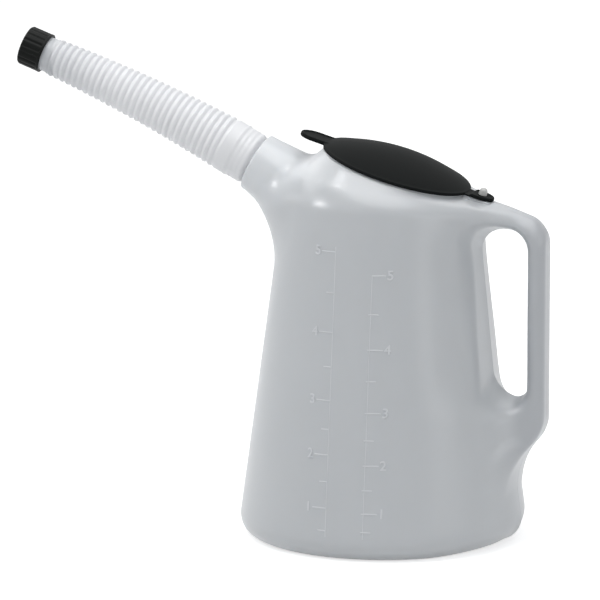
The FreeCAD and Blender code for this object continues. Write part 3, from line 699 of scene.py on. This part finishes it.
def makeSpout(g=spout):
    # rows along the outside, over the far end, back along the inside, and over the near end
    roundEnd = g["collarStart"]+g["collarRound"]
    ribbed = np.linspace(g["collarEnd"], g["collarEnd"]+g["ribs"]*g["pitch"], g["ribs"]*g["perRib"]+1)
    outer = np.concatenate([
        np.linspace(g["start"]+.4, g["collarStart"]-.01, 36),
        g["collarStart"]+g["collarRound"]*(1-np.cos(np.linspace(0, np.pi/2, 9))),
        np.linspace(roundEnd+.4, g["collarEnd"]-.2, 70), ribbed[:-1],
        np.linspace(ribbed[-1]+.01, g["end"]-.3, 24)])
    inner = np.concatenate([np.linspace(g["start"]+.4, g["collarEnd"], 40), ribbed[1::2],
                            np.linspace(ribbed[-1]+2, g["end"]-.3, 8)])
    outerRadius, innerRadius = spoutRadius(outer), spoutRadius(inner)-g["wall"]
    farEnd = [outerRadius[-1]-g["endRound"], outerRadius[-1]-g["wall"]+g["endRound"]]
    nearEnd = [outerRadius[0]-g["wall"]+g["endRound"], outerRadius[0]-g["endRound"]]
    t = np.concatenate([outer, [g["end"]]*2, inner[::-1], [g["start"]]*2, outer[:1]])
    radius = np.concatenate([outerRadius, farEnd, innerRadius[::-1], nearEnd, outerRadius[:1]])
    points = alongSpout(t[:, None], radius[:, None], turns(g["around"])[None]).reshape(-1, 3)
    piece = newObject("corrugatedSpout", points, [gridFaces(len(t), g["around"])], whiteTubePolyethylene,
                      None, weld=True)
    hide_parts("flexible_spout")
    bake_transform(piece)


makeSpout()


# The screw cap and its seal, by places along the spout.
cap = {
    "start": 169.9, "end": 186.45, "radius": 14.25, "ribSink": .12, "grooveDepth": .6, "ribs": 18, "flangeLength": 1.3,
    "chamfer": 1.0, "bore": 12.75, "endWall": 1.6, "around": 288, "rows": 14,
}
seal = {"radius": 12.45, "low": 183.6, "high": 184.8, "corner": .25, "around": 96}


def makeCap(g=cap):
    # Profile from the middle of the closed end, over the chamfer, along the ribbed side, over the flange at the open
    # end and back inside. The ribs are broad with narrow grooves: depth = (0.5 + 0.5 cos) ^ 3, faded out at both ends.
    top, side, flangeTop = g["end"], g["radius"]-g["ribSink"], g["start"]+g["flangeLength"]
    profile = rounded([(0, top), (g["radius"]-g["chamfer"], top), (side, top-g["chamfer"]), (side, flangeTop+.4),
                       (g["radius"], flangeTop), (g["radius"], g["start"]), (g["bore"], g["start"]),
                       (g["bore"], top-g["endWall"]), (0, top-g["endWall"])],
                      (0, .4, .4, .2, .25, .35, .3, .5, 0), 5)
    straight = np.linspace(top-g["chamfer"]-.7, flangeTop+.9, g["rows"])
    cut = np.argmax((profile[:, 1] < straight[-1]))
    before = profile[:cut][profile[:cut, 1] > straight[0]]
    closedEnd = [[0, top], [4, top], [8, top]]
    profile = np.concatenate([closedEnd, before[1:], np.stack([0*straight+side, straight], -1), profile[cut:]])
    angle = turns(g["around"])
    groove = np.clip(.5+.5*np.cos(g["ribs"]*angle), 0, 1)**3
    radius, place = profile[:, :1], profile[:, 1:]
    outside = (radius > g["bore"]+.6)*smoothStep(place, flangeTop+.1, flangeTop+1.0)
    fade = outside*smoothStep(place, top+.4, top-g["chamfer"]-.4)
    radius = radius-g["grooveDepth"]*groove[None]*fade
    points = alongSpout(place+0*angle[None], radius+0*angle[None], angle[None]+0*place).reshape(-1, 3)
    piece = newObject("ribbedCap", points, [gridFaces(len(profile), g["around"])], blackPolypropylene,
                      "cap", weld=True)
    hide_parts("spout_cap")


def makeSeal(g=seal):
    profile = rounded([(0, g["high"]), (g["radius"], g["high"]), (g["radius"], g["low"]), (0, g["low"])],
                      (0, g["corner"], g["corner"], 0), 5)
    radius, place, angle = profile[:, :1], profile[:, 1:], turns(g["around"])[None]
    points = alongSpout(place+0*angle, radius+0*angle, angle+0*place).reshape(-1, 3)
    piece = newObject("sealDisc", points, [gridFaces(len(profile), g["around"])], nitrileRubber,
                      "seal", weld=True)
    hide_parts("cap_seal")


makeCap()
makeSeal()
print("spout and cap made")


# The soft lid with its living hinge, in its own frame. Its origin is the middle of the rim's underside.
lid = {
    "radius": 53.7, "domeRadius": 143.66, "domeChord": 52.4, "crown": 12.0, "rimHeight": 2.2, "rimInner": 50,
    "thickness": 2.0, "skirtOuter": 47.4, "skirtInner": 45.8, "skirtDepth": 5.0, "skirtTop": 1.5,
    "tabEnd": 72.6, "tabHalf": 11.0, "tabThick": 2.0, "tabStart": -50, "tabInner": 51,
    "border": 1.8, "borderHeight": .8,
    "backStart": 56.3, "hingeEnd": 72.3, "hingeHalf": 10.0, "hingeThick": 2.4, "hingeSeat": .7, "hingeBorder": .6,
    "axis": 56.0, "notchBottom": 1.4, "notchHalf": rad(47), "studPlace": 63.7, "studHole": 2.3,
    "webStart": 52.5, "webEnd": 58, "webHalf": 9.6, "webHeight": 1.0, "webHalfThick": .45,
    "foldStart": 57.4, "foldEnd": 54.6, "grid": .6, "boxLow": (-73.6, -54.6, -5.62), "boxHigh": (73.4, 54.6, 14.6),
}


def lidField(p, g=lid):
    # A spherical dome with a rounded rim, a skirt that drops into the mouth, a bordered thumb tab in front, and behind
    # it the thin hinge web and the bordered tab that the stud holds. The last number of each rounding is its radius.
    s, t, n = p[..., 0], p[..., 1], p[..., 2]
    r = np.hypot(s, t)
    dome = np.sqrt(r*r+(n-g["crown"]+g["domeRadius"])**2)-g["domeRadius"]
    cover = np.maximum(roundMax(dome, r-g["domeChord"], .3), -n)
    rim = roundMax(roundMax(r-g["radius"], n-g["rimHeight"], .95), -n, .6)
    rim = np.maximum(rim, g["rimInner"]-r)
    cover = roundMin(cover, rim, .35)
    cover = roundMax(cover, -np.maximum(dome+g["thickness"], r-g["skirtInner"]), .5)
    skirtMiddle, skirtHalf = .5*(g["skirtOuter"]+g["skirtInner"]), .5*(g["skirtOuter"]-g["skirtInner"])
    skirt = roundMax(roundMax(np.abs(r-skirtMiddle)-skirtHalf, -n-g["skirtDepth"], .5), n-g["skirtTop"], .3)
    cover = roundMin(cover, skirt, .4)
    outline = np.hypot(np.maximum(-s-g["tabEnd"]+g["tabHalf"], 0), t)-g["tabHalf"]
    inFront = np.maximum(s-g["tabStart"], g["tabInner"]-r)
    plate = np.maximum(roundMax(roundMax(outline, n-g["tabThick"], .6), -n, .5), inFront)
    inBorder = np.abs(outline+.5*g["border"])-.5*g["border"]
    border = roundMax(inBorder, n-g["tabThick"]-g["borderHeight"], .55)
    border = np.maximum(np.maximum(border, -n+.3), inFront)
    cover = roundMin(cover, roundMin(plate, border, .5), .8)
    outline = np.hypot(np.maximum(s-g["hingeEnd"]+g["hingeHalf"], 0), t)-g["hingeHalf"]
    behind = g["backStart"]-s
    plate = roundMax(roundMax(np.maximum(outline, behind), n-g["hingeThick"], .5), g["hingeSeat"]-n, .4)
    inBorder = np.maximum(np.abs(outline+.5*g["border"])-.5*g["border"], behind)
    border = roundMax(inBorder, n-g["hingeThick"]-g["hingeBorder"], .5)
    plate = roundMin(plate, np.maximum(border, g["hingeSeat"]-n+.3), .5)
    notch = (n-g["notchBottom"]-np.abs(s-g["axis"])/np.tan(g["notchHalf"]))*np.sin(g["notchHalf"])
    plate = roundMax(plate, notch, .3)
    plate = np.maximum(plate, g["studHole"]-np.hypot(s-g["studPlace"], t))
    web = np.maximum(np.abs(t)-g["webHalf"], np.maximum(g["webStart"]-s, s-g["webEnd"]))
    web = roundMax(web, np.abs(n-g["webHeight"])-g["webHalfThick"], .3)
    return np.minimum(np.minimum(roundMax(cover, notch, .2), plate), web)


def makeLid(g=lid):
    points, quads = surfaceNet(lidField, g["boxLow"], g["boxHigh"], g["grid"], 2)
    points = fromTilt(points[:, 0], points[:, 1], points[:, 2], lidPlace)
    piece = newObject("softLid", points, [quads], softBlackPlastic, None)
    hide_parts("lid", "hinge_tab")
    start, end = (tuple(fromTilt(at, 0.0, g["webHeight"], lidPlace)*.001) for at in (g["foldStart"], g["foldEnd"]))
    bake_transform(piece)


makeLid()

stud = {
    "headRadius": 3.1, "headTop": 7.7, "seat": 2.5, "shank": 2.0, "barb": 2.9, "barbTop": -2.6, "foot": -5.6,
    "around": 64,
}


def makeStud(g=stud):
    # turned profile: domed head, shank through the tab, barbed foot
    profile = rounded([(0, g["headTop"]), (g["headRadius"]-.5, g["headTop"]), (g["headRadius"], g["seat"]),
                       (g["shank"], g["seat"]), (g["shank"], g["barbTop"]), (g["barb"], g["barbTop"]),
                       (g["shank"]-.6, g["foot"]), (0, g["foot"])], (0, 2.3, .3, .15, .1, .2, .5, 0), 9)
    points, faces = turned(profile, lidPlace, g["around"])
    points = points+(fromTilt(lid["studPlace"], 0, 0, lidPlace)-fromTilt(0, 0, 0, lidPlace))
    piece = newObject("pushStud", points, [faces], naturalPolyamide, "jug", weld=True)
    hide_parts("lid_stud")


makeStud()
print("lid and stud made")


# The studio: floor, lights and camera. Distances and places are in metres, azimuths and elevations of lamps in degrees.
studio = {
    "cameraAzimuth": rad(16), "cameraElevation": rad(10.66), "cameraDistance": 4.0, "cameraTarget": (-.0611, 0, .1633),
    "lens": 340.9, "clipEnd": 50, "lampTarget": (0, 0, .15),
    "lamps": (   # name, azimuth, elevation, distance, size, power, what it lights
        ("topSoftbox", -50, 78, 2.6, 1.8, 20, "diffuse"),
        ("keySoftbox", -46, 46, 2.8, 1.2, 14, "diffuse"),
        ("fillSoftbox", 68, 14, 3.4, 2.0, 13, "both"),
        ("backSoftbox", 165, 50, 2.8, 1.6, 6, "both"),
        ("overheadPanel", 20, 78, 2.8, 3.2, 76, "glossy"),
        ("sidePanel", -118, 32, 2.8, 2.4, 26, "glossy"),
        ("glintLamp", -67, 25, 2.5, .25, 12, "glossy"),
        ("upperGlintLamp", -88, 62, 2.5, .25, 7, "glossy"),
    ),
    "floorHalf": 9.0, "floorColour": "E6E6E6", "floorLift": .62, "worldColour": "F2F4F6", "worldStrength": .5,
}


def direction(azimuth, elevation):
    return Vector((np.sin(azimuth)*np.cos(elevation), -np.cos(azimuth)*np.cos(elevation), np.sin(elevation)))


def shownWhite(tree):
    # 1 for rays from the camera and for those that a glossy or a clear surface sends on, 0 for the light that it gives
    path = addNode(tree, "ShaderNodeLightPath").outputs
    seen = mathNode(tree, "MAXIMUM", {0: path["Is Camera Ray"], 1: path["Is Glossy Ray"]})
    return mathNode(tree, "MAXIMUM", {0: seen, 1: path["Is Transmission Ray"]})


def makeCamera(g=studio):
    camera = bpy.data.objects.new("camera", bpy.data.cameras.new("camera"))
    camera.data.lens, camera.data.clip_end = g["lens"], g["clipEnd"]
    back = direction(g["cameraAzimuth"], g["cameraElevation"])
    camera.location = Vector(g["cameraTarget"])+back*g["cameraDistance"]
    camera.rotation_mode = "QUATERNION"
    camera.rotation_quaternion = (-back).to_track_quat("-Z", "Y")
    bpy.context.scene.collection.objects.link(camera)
    bpy.context.scene.camera = camera


def makeLamps(g=studio):
    for name, azimuth, elevation, distance, size, power, kind in g["lamps"]:
        lamp = bpy.data.lights.new(name, "AREA")
        lamp.shape, lamp.size, lamp.energy = "DISK", size, power
        holder = bpy.data.objects.new(name, lamp)
        holder.visible_diffuse, holder.visible_glossy = kind != "glossy", kind != "diffuse"
        back = direction(rad(azimuth), rad(elevation))
        holder.location = Vector(g["lampTarget"])+back*distance
        holder.rotation_euler = back.to_track_quat("Z", "Y").to_euler()
        bpy.context.scene.collection.objects.link(holder)


def makeFloor(g=studio):
    # a pale sheet that keeps the shadow; where it is shown white it is lifted towards white
    material = bpy.data.materials.new("paleFloor")
    tree = emptyTree(material)
    lift = mathNode(tree, "MULTIPLY", {0: shownWhite(tree)}, {1: g["floorLift"]})
    sheet = addNode(tree, "ShaderNodeBsdfDiffuse", {"Color": linearColour(g["floorColour"])})
    glow = addNode(tree, "ShaderNodeEmission", {"Color": (1, 1, 1, 1)}, {"Strength": lift})
    both = addNode(tree, "ShaderNodeAddShader", links={0: sheet.outputs[0], 1: glow.outputs[0]})
    addNode(tree, "ShaderNodeOutputMaterial", links={"Surface": both.outputs[0]})
    corners = np.array([(-1, -1, 0), (1, -1, 0), (1, 1, 0), (-1, 1, 0)])*g["floorHalf"]*1000
    newObject("floor", corners, [[(0, 1, 2, 3)]], material)


def makeWorld(g=studio):
    # a soft grey light all round, shown white
    world = bpy.data.worlds.new("studioWorld")
    bpy.context.scene.world = world
    tree = emptyTree(world)
    light = addNode(tree, "ShaderNodeBackground",
                    {"Color": linearColour(g["worldColour"]), "Strength": g["worldStrength"]})
    white = addNode(tree, "ShaderNodeBackground", {"Color": (1, 1, 1, 1), "Strength": 1.0})
    mix = addNode(tree, "ShaderNodeMixShader", links={0: shownWhite(tree), 1: light.outputs[0], 2: white.outputs[0]})
    addNode(tree, "ShaderNodeOutputWorld", links={"Surface": mix.outputs[0]})


makeCamera()
makeLamps()
makeFloor()
makeWorld()
bpy.context.scene.view_settings.view_transform = "Standard"
print("studio made")
